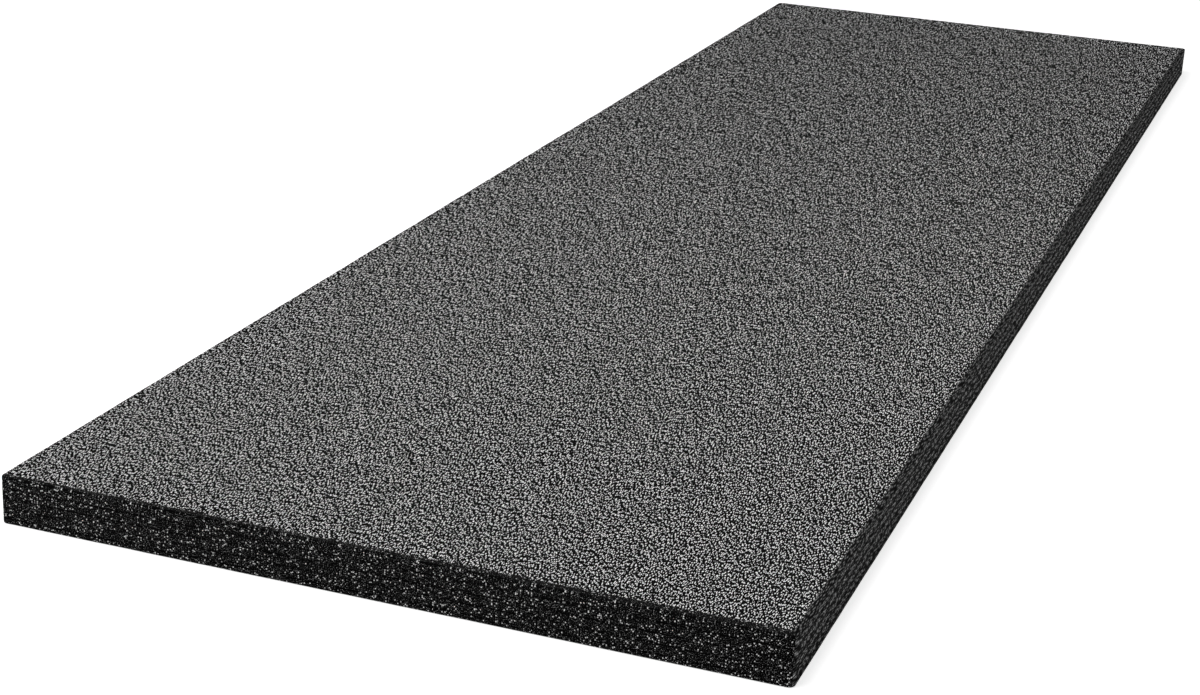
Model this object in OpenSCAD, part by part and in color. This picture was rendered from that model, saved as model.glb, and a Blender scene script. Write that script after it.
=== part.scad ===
// Closed-cell polyethylene foam sheet: one solid plank with eased edges. It is built up
// from heat-welded plies, and each weld shows as a shallow seam round the four cut sides.
// Width runs along X, length along Y and thickness along Z, in millimetres.
// The origin is at the centre of the underside.

/* [Sheet] */
// Length of the sheet
sheet_length = 1371.6; // [600:0.1:2400]
// Width of the sheet
sheet_width = 406.4; // [150:0.1:1200]
// Thickness of the sheet
sheet_thickness = 25.4; // [16:0.1:100]

/* [Edges] */
// Radius of the four upright corners
corner_r = 3.5; // [3:0.1:20]
// Radius that eases the edges of the top and bottom faces
edge_r = 1.0; // [0.5:0.1:3]

/* [Plies] */
// Thickness of the bottom ply, from the underside to the lowest seam
bottom_ply = 3.4; // [3.4:0.1:12]
// Thickness of each ply between two seams
ply = 5.4; // [2:0.1:25]
// Width of a seam where it opens on the cut side
seam_width = 0.8; // [0.2:0.1:1]
// Depth of a seam below the cut side
seam_depth = 0.3; // [0.1:0.05:0.5]

/* [Hidden] */
$fn = 48;

// The core is the part inside the rim, and the rim is as wide as a corner's radius.
core_width = sheet_width - 2 * corner_r;
core_length = sheet_length - 2 * corner_r;

// Seams repeat upwards from the bottom ply while they stay clear of the top edge's easing.
highest_seam = sheet_thickness - edge_r - seam_width / 2;
seam_heights = [for (z = bottom_ply; z <= highest_seam; z = z + ply) z];

// Radius of the arc that gives a groove its width and its depth
groove_r = (pow(seam_width / 2, 2) + pow(seam_depth, 2)) / (2 * seam_depth);

// Round-bottomed groove in the rim's outer face, centred on a seam
module seam_groove(height)
    translate([corner_r + groove_r - seam_depth, height]) circle(groove_r);

// The rim's outline across its width, with both outer edges eased
module eased_outline()
    intersection() {
        square([corner_r, sheet_thickness]);
        union() {
            square([corner_r - edge_r, sheet_thickness]);
            translate([0, edge_r]) square([corner_r, sheet_thickness - 2 * edge_r]);
            for (z = [edge_r, sheet_thickness - edge_r])
                translate([corner_r - edge_r, z]) circle(edge_r);
        }
    }

// Cross-section of the rim: X points outwards and Y is the height
module rim_section()
    difference() {
        eased_outline();
        for (z = seam_heights) seam_groove(z);
    }

// Straight rims on two opposite sides, each `run` long, with outer faces `span` apart
module side_rims(run, span)
    for (turn = [0, 180])
        rotate([0, 0, turn])
            translate([span / 2 - corner_r, run / 2, 0])
                rotate([90, 0, 0]) linear_extrude(run) rim_section();

// The same section turned round each upright corner
module corner_rims()
    for (flip_x = [0, 1], flip_y = [0, 1])
        mirror([flip_x, 0, 0]) mirror([0, flip_y, 0])
            translate([core_width / 2, core_length / 2, 0])
                rotate_extrude(angle = 90) rim_section();

module foam_sheet()
    color([0.27, 0.27, 0.27])
        union() {
            translate([-core_width / 2, -core_length / 2, 0])
                cube([core_width, core_length, sheet_thickness]);
            side_rims(run = core_length, span = sheet_width);
            rotate([0, 0, 90]) side_rims(run = core_width, span = sheet_length);
            corner_rims();
        }

foam_sheet();
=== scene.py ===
"""Finish for a closed-cell polyethylene foam sheet.

The sheet lies flat. Its two large faces carry a grey, speckled skin, partly its own tone
and partly painted sheen and glints, and its four cut sides show the dark cells, with
painted glints on the ends, and the weld seams between the plies.
"""

from math import cos, e, pi, radians, sin

import bmesh
import bpy
from mathutils import Matrix, Vector, noise


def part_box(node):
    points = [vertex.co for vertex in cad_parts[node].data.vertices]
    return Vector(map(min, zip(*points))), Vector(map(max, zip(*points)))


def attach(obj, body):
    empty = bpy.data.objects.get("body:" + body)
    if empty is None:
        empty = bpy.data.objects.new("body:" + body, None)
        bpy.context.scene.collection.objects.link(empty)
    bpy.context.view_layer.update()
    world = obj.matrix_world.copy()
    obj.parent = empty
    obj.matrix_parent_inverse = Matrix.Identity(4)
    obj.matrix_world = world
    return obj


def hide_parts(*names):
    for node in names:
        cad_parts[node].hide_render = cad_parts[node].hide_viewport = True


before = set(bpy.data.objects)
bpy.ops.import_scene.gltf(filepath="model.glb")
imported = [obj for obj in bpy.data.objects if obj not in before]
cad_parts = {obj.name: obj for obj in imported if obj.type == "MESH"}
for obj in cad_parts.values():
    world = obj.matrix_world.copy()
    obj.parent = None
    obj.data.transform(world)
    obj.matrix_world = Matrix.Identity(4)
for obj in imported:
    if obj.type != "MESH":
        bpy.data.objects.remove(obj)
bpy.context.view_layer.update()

# ---------------------------------------------------------------- sizes, in metres

LOW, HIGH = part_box("foam_sheet")
WIDTH, LENGTH, THICKNESS = HIGH - LOW

CORNER_R = 0.0035  # the four upright corners
EDGE_R = 0.001  # the eased edges of the large faces
BOTTOM_PLY = 0.0034  # from the underside to the lowest seam
PLY = 0.0054  # from one seam to the next
SEAM_COUNT = 4
SEAM_HEIGHTS = [BOTTOM_PLY + PLY * k for k in range(SEAM_COUNT)]
SEAM_DEPTH = 0.0003
SEAM_HALF_WIDTH = 0.0004  # the groove itself
SEAM_HALF_SHADE = 0.0009  # how far the darker, fused foam reaches from a seam

SEAM_WANDER = 0.0006  # how far the seams wander up and down
SEAM_WANDER_RUN = 0.11  # length of one wander
SEAM_LIKENESS = 8  # the higher, the more alike the seams wander
RELIEF_DEPTH = 0.00025  # the deepest of the shallow hollows in every face
RELIEF_RUN = 0.018  # their size

# The mesh
CORNER_STEPS = 6  # faces round an upright corner
EDGE_STEPS = 5  # faces across an eased edge
FACE_PITCH = 0.006  # spacing of the mesh lines on the large faces
PLY_LINES = (0.36, 0.64)  # places of the mesh lines within a ply, as shares of it
ON_LINE = 1e-6  # a point this near to a new mesh line lies on it

# ---------------------------------------------------------------- foam cells
# On the skin and the sawn ends, the bright cells stand partly for painted glints on cell walls.
#
# A layer of cells gives two numbers at each place. Its middle is high in the middle of a
# cell and low on the walls. Its tone is the same all over a cell, and is spread evenly
# from 0 to 1 between cells. A face adds shares of them to a base level. Its brightness is
# the exponential of that level, so most of the foam is dark and only some cells are bright.
# In the names, LEVEL is the base, and MIDDLE and TONE are the shares. CELLS counts the
# cells in a metre across, and RUN is a cell's length over its width.

BRIGHTEST = 0.9  # the brightest that a cell gets
MIDDLE_MEAN = 0.43  # mean distance to the nearest cell's middle, in cell widths
MIDDLE_SPREAD = 0.19  # spread of that distance
DRAWN_OUT = 1.5  # growth of the cells' length, per metre from the near end

# Skin of the large faces: fine cells, and long ones that show more towards the far end
# Its grey and its bright cells are partly the skin's own tone and partly painted sheen and
# glints.
SKIN_LEVEL = -9.38
FINE_CELLS = 1100
FINE_RUN = 2.8
FINE_MIDDLE = 5.8
FINE_TONE = 4.5
LONG_CELLS = 700
LONG_RUN = 3.6
LONG_NEAR = 1.0  # share of a long cell's middle up to the near place
LONG_FAR = 2.4  # and from the far place on
LONG_NEAR_PLACE = -0.6  # places along the length, from the middle of the sheet
LONG_FAR_PLACE = 0.4
LONG_EVEN = -0.12  # takes back the brightness that the long cells add

# Sawn ends: dark cells with painted glints, and a few painted sparks
END_LEVEL = -10.3
END_CELLS = 1300
END_MIDDLE = 4.2
GLINT_GAIN = 3.5  # share of a cell's tone, raised to the power
GLINT_POWER = 2.0  # the higher, the fewer cells glint
SPARK_RARE = 0.915  # only cells with a higher tone spark
SPARK_FROM = -0.3  # middle at which a spark starts
SPARK_FULL = 1.3  # and is full
SPARK_GAIN = 4.0  # brightness of a full spark before it is capped
END_RIM_SHADE = 0.55  # painted shade: brightness that is left where the cut turns up into a large face, which gets more light
END_RIM_FROM = 0.3  # upward part of the surface's direction where that starts
END_RIM_FULL = 0.9  # and is full

# Long sides: fine streaks, lighter in the middle of a ply
SIDE_LEVEL = -5.1
SIDE_CELLS = 1350
SIDE_RUN = 7.0
SIDE_MIDDLE = 1.8
SIDE_PLY = 1.8
FLAT_PLY = 0.22  # ply number of the large faces, which shows on their worn rims

SEAM_SHADE = 0.35  # brightness that is left in a seam
CORNER_BLEND = 0.0004  # half the width of the change from an end to a long side

# Where the skin ends at the edges of the large faces
SKIN_FROM = 0.93  # upward part of the surface's direction where the skin starts
SKIN_FULL = 0.98  # and is whole
SKIN_RAGGED = 0.02  # how much the cells roughen that line
FRAY_START = 0.0031  # the skin is worn off this far in from the near end and the right side
FRAY_END = 0.0045  # and whole again from here
FRAY_RAGGED = 0.0002  # how far the cells roughen that line
FRAY_EXTRA = 0.0003  # how much wider the worn rim of the near end is
FRAY_GROWTH = 0.011  # and how much it widens for each metre to the right
FRAY_GROWS_FROM = -0.03  # place across the width where that starts

BUMP_DEPTH = 0.00003  # how much higher the surface stands where the middle is 1 more
BUMP_STRENGTH = 0.5
ROUGH_DARK = 0.9  # roughness of the darkest cells
ROUGH_BRIGHT = 0.5  # and of those at or above the bright tone
ROUGH_BRIGHT_TONE = 0.4
GLOSS = 0.05  # foam hardly shines

# ---------------------------------------------------------------- the sheet's mesh


def rounded_block():
    """A block of the sheet's size with round upright corners and eased edges."""
    block = bmesh.new()
    bmesh.ops.create_cube(block, size=1)
    bmesh.ops.scale(block, vec=(WIDTH, LENGTH, THICKNESS), verts=block.verts)
    bmesh.ops.translate(block, vec=(LOW + HIGH) / 2, verts=block.verts)
    bevel(block, [edge for edge in block.edges if rise(edge) > EDGE_R], CORNER_R, CORNER_STEPS)
    bevel(block, [edge for edge in block.edges if rise(edge) < EDGE_R], EDGE_R, EDGE_STEPS)
    return block


def rise(edge):
    """How much higher one end of a mesh edge lies than the other."""
    return abs(edge.verts[0].co.z - edge.verts[1].co.z)


def bevel(mesh, edges, radius, steps):
    """Rounds mesh edges to a radius."""
    bmesh.ops.bevel(
        mesh,
        geom=edges,
        offset=radius,
        offset_type="OFFSET",
        segments=steps,
        profile=0.5,
        affect="EDGES",
        material=-1,
        clamp_overlap=False,
    )


def cut(mesh, direction, places):
    """Cuts mesh lines square to a direction at each of the places along it."""
    for place in places:
        bmesh.ops.bisect_plane(
            mesh,
            geom=mesh.verts[:] + mesh.edges[:] + mesh.faces[:],
            plane_co=direction * place,
            plane_no=direction,
            dist=ON_LINE,
        )


def even_lines(half, pitch):
    """Even places from -half to half, about a pitch apart."""
    steps = round(2 * half / pitch)
    return [-half + 2 * half * k / steps for k in range(steps + 1)]


def seam_rows():
    """Heights of the mesh lines that draw the seams and the plies between them."""
    offsets = [-SEAM_HALF_SHADE, -SEAM_HALF_WIDTH, 0, SEAM_HALF_WIDTH, SEAM_HALF_SHADE]
    offsets += [PLY * share for share in PLY_LINES]
    rows = [height + offset for height in SEAM_HEIGHTS for offset in offsets]
    return sorted(row for row in rows if EDGE_R < row < THICKNESS - EDGE_R)


def from_seam(height):
    """Distance from a height to the nearest seam."""
    return min(abs(height - seam) for seam in SEAM_HEIGHTS)


def wander(place):
    """How far the plies rise or dip at a place along the cut sides."""
    lift = noise.noise(Vector((place.x, place.y, place.z / SEAM_LIKENESS)) / SEAM_WANDER_RUN)
    return SEAM_WANDER * lift * sin(pi * place.z / THICKNESS)


def relief(place):
    """Depth of the shallow hollows at a place on the surface, never negative."""
    return RELIEF_DEPTH * (0.5 + 0.5 * noise.noise(place / RELIEF_RUN))


def model_sheet():
    """The visible sheet: a finely cut block with wandering seams and a soft relief.

    Its mesh carries two numbers for the finish. The seam number is 1 in a seam and 0 away
    from it. The ply number of a cut side is 0 in a seam and 1 in the middle of a ply.
    """
    sheet = rounded_block()
    cut(sheet, Vector((0, 0, 1)), seam_rows())
    cut(sheet, Vector((0, 1, 0)), even_lines(LENGTH / 2 - CORNER_R, FACE_PITCH))
    cut(sheet, Vector((1, 0, 0)), even_lines(WIDTH / 2 - CORNER_R, FACE_PITCH))
    sheet.normal_update()
    seam_number = sheet.verts.layers.float.new("seam")
    ply_number = sheet.verts.layers.float.new("ply")
    for vert in sheet.verts:
        upright = 1 - abs(vert.normal.z)
        gap = from_seam(vert.co.z)
        groove = max(0, 1 - gap / SEAM_HALF_WIDTH) * upright
        swell = 0.5 - 0.5 * cos(2 * pi * gap / PLY)
        vert[seam_number] = max(0, 1 - gap / SEAM_HALF_SHADE) * upright
        vert[ply_number] = swell * upright + FLAT_PLY * (1 - upright)
        inward = SEAM_DEPTH * groove + relief(vert.co)
        lift = Vector((0, 0, wander(vert.co) * upright))
        vert.co += lift - vert.normal * inward
    return sheet


def as_piece(mesh, name, material):
    """Makes a finished mesh an object of its own, with smooth shading."""
    data = bpy.data.meshes.new(name)
    mesh.to_mesh(data)
    mesh.free()
    data.materials.append(material)
    data.shade_smooth()
    piece = bpy.data.objects.new(name, data)
    bpy.context.collection.objects.link(piece)
    return piece


# ---------------------------------------------------------------- shader helpers


def new_material(name):
    """A material with an empty node tree."""
    material = bpy.data.materials.new(name)
    material.use_nodes = True
    material.node_tree.nodes.clear()
    return material, material.node_tree


def add(tree, kind, values=None, **settings):
    """A node with its settings; values are numbers for its inputs, or sockets to link."""
    made = tree.nodes.new(kind)
    for name, setting in settings.items():
        setattr(made, name, setting)
    for name, value in (values or {}).items():
        if isinstance(value, bpy.types.NodeSocket):
            tree.links.new(value, made.inputs[name])
        else:
            made.inputs[name].default_value = value
    return made


def maths(tree, operation, *terms):
    """The result of one calculation on numbers or sockets."""
    return add(tree, "ShaderNodeMath", dict(enumerate(terms)), operation=operation).outputs[0]


def ramp(tree, value, low, high, start=0.0, end=1.0):
    """A smooth step: start below low, end above high."""
    values = {"Value": value, "From Min": low, "From Max": high, "To Min": start, "To Max": end}
    step = add(tree, "ShaderNodeMapRange", values, interpolation_type="SMOOTHSTEP")
    return step.outputs["Result"]


def blend(tree, share, first, second):
    """Two numbers mixed: the first where the share is 0, the second where it is 1."""
    values = {"Factor": share, "A": first, "B": second}
    mixed = add(tree, "ShaderNodeMix", values, data_type="FLOAT", clamp_factor=True)
    return mixed.outputs["Result"]


def pair(tree, first, second):
    """Two numbers as one vector."""
    return add(tree, "ShaderNodeCombineXYZ", {"X": first, "Y": second}).outputs[0]


def attribute(tree, name):
    """A number that the mesh carries."""
    return add(tree, "ShaderNodeAttribute", attribute_name=name).outputs["Fac"]


def new_group(name, inputs, outputs):
    """A shader group with one Vector input, number inputs and number outputs."""
    tree = bpy.data.node_groups.new(name, "ShaderNodeTree")
    sockets = tree.interface
    sockets.new_socket(name="Vector", in_out="INPUT", socket_type="NodeSocketVector")
    for label in inputs:
        sockets.new_socket(name=label, in_out="INPUT", socket_type="NodeSocketFloat")
    for label in outputs:
        sockets.new_socket(name=label, in_out="OUTPUT", socket_type="NodeSocketFloat")
    return tree, tree.nodes.new("NodeGroupInput").outputs, tree.nodes.new("NodeGroupOutput")


# ---------------------------------------------------------------- foam finish


def cell_group():
    """Foam cells cut by a face: how near a place is to a cell's middle, and its tone."""
    tree, given, made = new_group(
        "foam_cells", ("Cells per metre", "Length of a cell"), ("Middle", "Tone")
    )
    squeeze = maths(tree, "DIVIDE", 1.0, given["Length of a cell"])
    stretch = pair(tree, 1.0, squeeze)
    terms = {0: given["Vector"], 1: stretch}
    place = add(tree, "ShaderNodeVectorMath", terms, operation="MULTIPLY").outputs[0]
    values = {"Vector": place, "Scale": given["Cells per metre"]}
    cells = add(tree, "ShaderNodeTexVoronoi", values, voronoi_dimensions="2D", feature="F1")
    nearer = maths(tree, "SUBTRACT", MIDDLE_MEAN, cells.outputs["Distance"])
    middle = maths(tree, "DIVIDE", nearer, MIDDLE_SPREAD)
    tone = add(tree, "ShaderNodeSeparateColor", {"Color": cells.outputs["Color"]})
    tree.links.new(middle, made.inputs["Middle"])
    tree.links.new(tone.outputs["Red"], made.inputs["Tone"])
    return tree


def cell_layer(tree, cells, place, count, run=1.0):
    """One layer of foam cells on a face."""
    values = {"Vector": place, "Cells per metre": count, "Length of a cell": run}
    return add(tree, "ShaderNodeGroup", values, node_tree=cells).outputs


def brightness(tree, level):
    """Turns an even spread of levels into many dark cells and few bright ones."""
    return maths(tree, "MINIMUM", maths(tree, "EXPONENT", level), BRIGHTEST)


def drawn_length(tree, part):
    """Places along the sheet that grow ever more slowly, so that cells get longer further on."""
    drawn = maths(tree, "MULTIPLY_ADD", part["Y"], DRAWN_OUT, 1 + DRAWN_OUT * LENGTH / 2)
    return maths(tree, "DIVIDE", maths(tree, "LOGARITHM", drawn, e), DRAWN_OUT)


def face_places(tree, part):
    """Flat places on the skin, the ends and the long sides.

    Those of the cut sides run on over the edge, a little way into the large faces.
    """
    drawn = drawn_length(tree, part)
    skin = pair(tree, part["X"], drawn)
    end = pair(tree, part["X"], maths(tree, "SUBTRACT", part["Z"], part["Y"]))
    side = pair(tree, maths(tree, "SUBTRACT", part["Z"], part["X"]), drawn)
    return skin, end, side


def skin_tone_and_painted_sheen(tree, cells, place, part):
    """The large faces: bright and dark cells side by side, the long ones strongest far along.
    Their grey and their bright cells are partly the skin's own tone and partly painted sheen and
    glints.
    """
    fine = cell_layer(tree, cells, place, FINE_CELLS, FINE_RUN)
    long = cell_layer(tree, cells, place, LONG_CELLS, LONG_RUN)
    level = maths(tree, "MULTIPLY_ADD", fine["Middle"], FINE_MIDDLE, SKIN_LEVEL)
    level = maths(tree, "MULTIPLY_ADD", fine["Tone"], FINE_TONE, level)
    share = ramp(tree, part["Y"], LONG_NEAR_PLACE, LONG_FAR_PLACE, LONG_NEAR, LONG_FAR)
    level = maths(tree, "MULTIPLY_ADD", long["Middle"], share, level)
    even = maths(tree, "MULTIPLY", maths(tree, "MULTIPLY", share, share), LONG_EVEN)
    return brightness(tree, maths(tree, "ADD", level, even)), fine["Middle"]


def end_tone_glints_and_rim_shade(tree, cells, place, upward):
    """The two sawn ends: nearly black, with painted glints and sparks on scattered cells, and
    painted shade where the cut turns up into a large face.
    """
    fine = cell_layer(tree, cells, place, END_CELLS)
    level = maths(tree, "MULTIPLY_ADD", fine["Middle"], END_MIDDLE, END_LEVEL)
    # Painted glints and sparks: bright cells that stand for light caught by cut cell walls.
    glint = maths(tree, "POWER", fine["Tone"], GLINT_POWER)
    level = maths(tree, "MULTIPLY_ADD", glint, GLINT_GAIN, level)
    glinting = maths(tree, "EXPONENT", level)

    rare = ramp(tree, fine["Tone"], SPARK_RARE, 1.0)
    small = ramp(tree, fine["Middle"], SPARK_FROM, SPARK_FULL, 0.0, SPARK_GAIN)
    spark = maths(tree, "MULTIPLY", rare, small)

    tone = maths(tree, "MINIMUM", maths(tree, "MAXIMUM", glinting, spark), BRIGHTEST)
    # Painted shade: the ends' cells are darkened where the cut turns up and gets more light from
    # above.
    shade = ramp(tree, upward, END_RIM_FROM, END_RIM_FULL, 1.0, END_RIM_SHADE)
    return maths(tree, "MULTIPLY", tone, shade), fine["Middle"]


def long_side_tone(tree, cells, place):
    """The two long sides, slit along the cells: dark grey with fine streaks."""
    fine = cell_layer(tree, cells, place, SIDE_CELLS, SIDE_RUN)
    level = maths(tree, "MULTIPLY_ADD", fine["Middle"], SIDE_MIDDLE, SIDE_LEVEL)
    level = maths(tree, "MULTIPLY_ADD", attribute(tree, "ply"), SIDE_PLY, level)
    return brightness(tree, level), fine["Middle"]


def inside(tree, half, number):
    """Distance of a place from the nearer of two opposite sides."""
    return maths(tree, "SUBTRACT", half, maths(tree, "ABSOLUTE", number))


def long_side_share(tree, part):
    """0 on the two ends and 1 on the two long sides, with a change at the corners."""
    from_end = inside(tree, LENGTH / 2, part["Y"])
    from_side = inside(tree, WIDTH / 2, part["X"])
    side_nearer_by = maths(tree, "SUBTRACT", from_end, from_side)
    return ramp(tree, side_nearer_by, -CORNER_BLEND, CORNER_BLEND)


def bare_share(tree, part, skin_middle):
    """1 on the frayed rims of the large faces, where the skin is worn off."""
    right = maths(tree, "MAXIMUM", maths(tree, "SUBTRACT", part["X"], FRAY_GROWS_FROM), 0.0)
    wider = maths(tree, "MULTIPLY", right, FRAY_GROWTH)
    from_end = maths(tree, "ADD", part["Y"], LENGTH / 2 - FRAY_EXTRA)
    from_end = maths(tree, "SUBTRACT", from_end, wider)
    from_side = maths(tree, "SUBTRACT", WIDTH / 2, part["X"])
    near = maths(tree, "MINIMUM", from_end, from_side)
    near = maths(tree, "MULTIPLY_ADD", skin_middle, FRAY_RAGGED, near)
    return ramp(tree, near, FRAY_START, FRAY_END, 1.0, 0.0)


def skin_share(tree, part, upward, skin_middle):
    """1 on the skin, and 0 on the cut sides and the frayed rims."""
    facing = maths(tree, "ADD", upward, maths(tree, "MULTIPLY", skin_middle, SKIN_RAGGED))
    flat = ramp(tree, facing, SKIN_FROM, SKIN_FULL)
    whole = maths(tree, "SUBTRACT", 1.0, bare_share(tree, part, skin_middle))
    return maths(tree, "MULTIPLY", flat, whole)


def foam_material():
    """Charcoal foam: skin on the large faces, open cells on the cut sides."""
    material, tree = new_material("charcoal_foam")
    coords = add(tree, "ShaderNodeTexCoord").outputs
    part = add(tree, "ShaderNodeSeparateXYZ", {"Vector": coords["Object"]}).outputs
    normal = add(tree, "ShaderNodeSeparateXYZ", {"Vector": coords["Normal"]}).outputs
    upward = maths(tree, "ABSOLUTE", normal["Z"])

    cells = cell_group()
    skin_place, end_place, side_place = face_places(tree, part)
    skin, skin_middle = skin_tone_and_painted_sheen(tree, cells, skin_place, part)
    end, end_middle = end_tone_glints_and_rim_shade(tree, cells, end_place, upward)
    side, side_middle = long_side_tone(tree, cells, side_place)

    lengthways = long_side_share(tree, part)
    seam_shade = ramp(tree, attribute(tree, "seam"), 0.0, 1.0, 1.0, SEAM_SHADE)
    cut_tone = maths(tree, "MULTIPLY", blend(tree, lengthways, end, side), seam_shade)
    cut_middle = blend(tree, lengthways, end_middle, side_middle)

    skinned = skin_share(tree, part, upward, skin_middle)
    tone = blend(tree, skinned, cut_tone, skin)
    middle = blend(tree, skinned, cut_middle, skin_middle)

    colour = add(tree, "ShaderNodeCombineColor", {"Red": tone, "Green": tone, "Blue": tone})
    heights = {"Height": middle, "Distance": BUMP_DEPTH, "Strength": BUMP_STRENGTH}
    bump = add(tree, "ShaderNodeBump", heights)
    shader = add(
        tree,
        "ShaderNodeBsdfPrincipled",
        {
            "Base Color": colour.outputs[0],
            "Roughness": ramp(tree, tone, 0.0, ROUGH_BRIGHT_TONE, ROUGH_DARK, ROUGH_BRIGHT),
            "Specular IOR Level": GLOSS,
            "Normal": bump.outputs["Normal"],
        },
    )
    add(tree, "ShaderNodeOutputMaterial", {"Surface": shader.outputs[0]})
    return material


# ---------------------------------------------------------------- studio

FLOOR_SIZE = 12
FLOOR_WHITE = 0.8  # the floor's own colour, for the light that it throws back
FLOOR_GLOW = 0.73  # what the camera sees on the floor with no light on it
FLOOR_SHARE = 0.545  # how much of the light on the floor the camera sees
SKY_LIGHT = 0.3
KEY_PLACE = (-0.4, -1.0, 2.3)
KEY_AIM = (0.3, -0.6, 0)  # the point on the floor that it faces
KEY_SIZE = 1.2  # metres across
KEY_POWER = 42  # watts


def grey(level):
    """A colour from one number."""
    return (level, level, level, 1)


def camera_only(tree, seen, other):
    """One shader for what the camera sees, and another for all other rays."""
    path = add(tree, "ShaderNodeLightPath").outputs
    return add(tree, "ShaderNodeMixShader", {"Fac": path["Is Camera Ray"], 1: other, 2: seen})


def floor_material():
    """White floor that the camera sees as white, with the sheet's shadow kept."""
    material, tree = new_material("studio_floor")
    matt = add(tree, "ShaderNodeBsdfDiffuse", {"Color": grey(FLOOR_WHITE)})
    glow = add(tree, "ShaderNodeEmission", {"Color": grey(1), "Strength": FLOOR_GLOW})
    seen_matt = add(tree, "ShaderNodeBsdfDiffuse", {"Color": grey(FLOOR_SHARE)})
    seen = add(tree, "ShaderNodeAddShader", {0: glow.outputs[0], 1: seen_matt.outputs[0]})
    pick = camera_only(tree, seen.outputs[0], matt.outputs[0])
    add(tree, "ShaderNodeOutputMaterial", {"Surface": pick.outputs[0]})
    return material


def lay_floor():
    """A wide, plain floor at the height of the underside."""
    grid = bmesh.new()
    bmesh.ops.create_grid(grid, x_segments=1, y_segments=1, size=FLOOR_SIZE / 2)
    floor = as_piece(grid, "studio_floor", floor_material())


def light_sky():
    """Plain grey sky for light, white where the camera looks past the floor."""
    world = bpy.data.worlds.new("studio_sky")
    bpy.context.scene.world = world
    world.use_nodes = True
    tree = world.node_tree
    tree.nodes.clear()
    soft = add(tree, "ShaderNodeBackground", {"Color": grey(1), "Strength": SKY_LIGHT})
    white = add(tree, "ShaderNodeBackground", {"Color": grey(1), "Strength": 1.0})
    pick = camera_only(tree, white.outputs[0], soft.outputs[0])
    add(tree, "ShaderNodeOutputWorld", {"Surface": pick.outputs[0]})


def hang_key():
    """One round softbox above and in front of the near end, shining in from the left."""
    lamp = bpy.data.lights.new("key_softbox", "AREA")
    lamp.shape = "DISK"
    lamp.size = KEY_SIZE
    lamp.energy = KEY_POWER
    key = bpy.data.objects.new("key_softbox", lamp)
    key.location = KEY_PLACE
    away = Vector(KEY_PLACE) - Vector(KEY_AIM)
    key.rotation_euler = away.to_track_quat("Z", "Y").to_euler()
    bpy.context.collection.objects.link(key)


# ---------------------------------------------------------------- camera

CAMERA_PLACE = (0.418, -1.5689, 0.4784)
CAMERA_LENS = 69.32  # millimetres
CAMERA_SENSOR = 36  # millimetres
CAMERA_TURN = -19.47  # degrees from straight along the sheet, towards its left side
CAMERA_DIP = 19.68  # degrees below level
CAMERA_ROLL = 2.67  # degrees


def set_camera():
    """A camera in front of the near end on the right, looking down along the sheet."""
    turn, dip, roll = radians(CAMERA_TURN), radians(CAMERA_DIP), radians(CAMERA_ROLL)
    ahead = Vector((sin(turn) * cos(dip), cos(turn) * cos(dip), -sin(dip)))
    level = Vector((cos(turn), -sin(turn), 0))
    above = level.cross(ahead)
    right = cos(roll) * level + sin(roll) * above
    up = right.cross(ahead)
    data = bpy.data.cameras.new("camera")
    data.sensor_width = CAMERA_SENSOR
    data.lens = CAMERA_LENS
    camera = bpy.data.objects.new("camera", data)
    axes = Matrix((right, up, -ahead)).transposed().to_4x4()
    camera.matrix_world = Matrix.Translation(CAMERA_PLACE) @ axes
    bpy.context.collection.objects.link(camera)
    bpy.context.scene.camera = camera


# ---------------------------------------------------------------- assembly

set_camera()
lay_floor()
light_sky()
hang_key()

foam = as_piece(model_sheet(), "foam_plank", foam_material())
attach(foam, "root")
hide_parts("foam_sheet")

bpy.context.scene.view_settings.view_transform = "Standard"
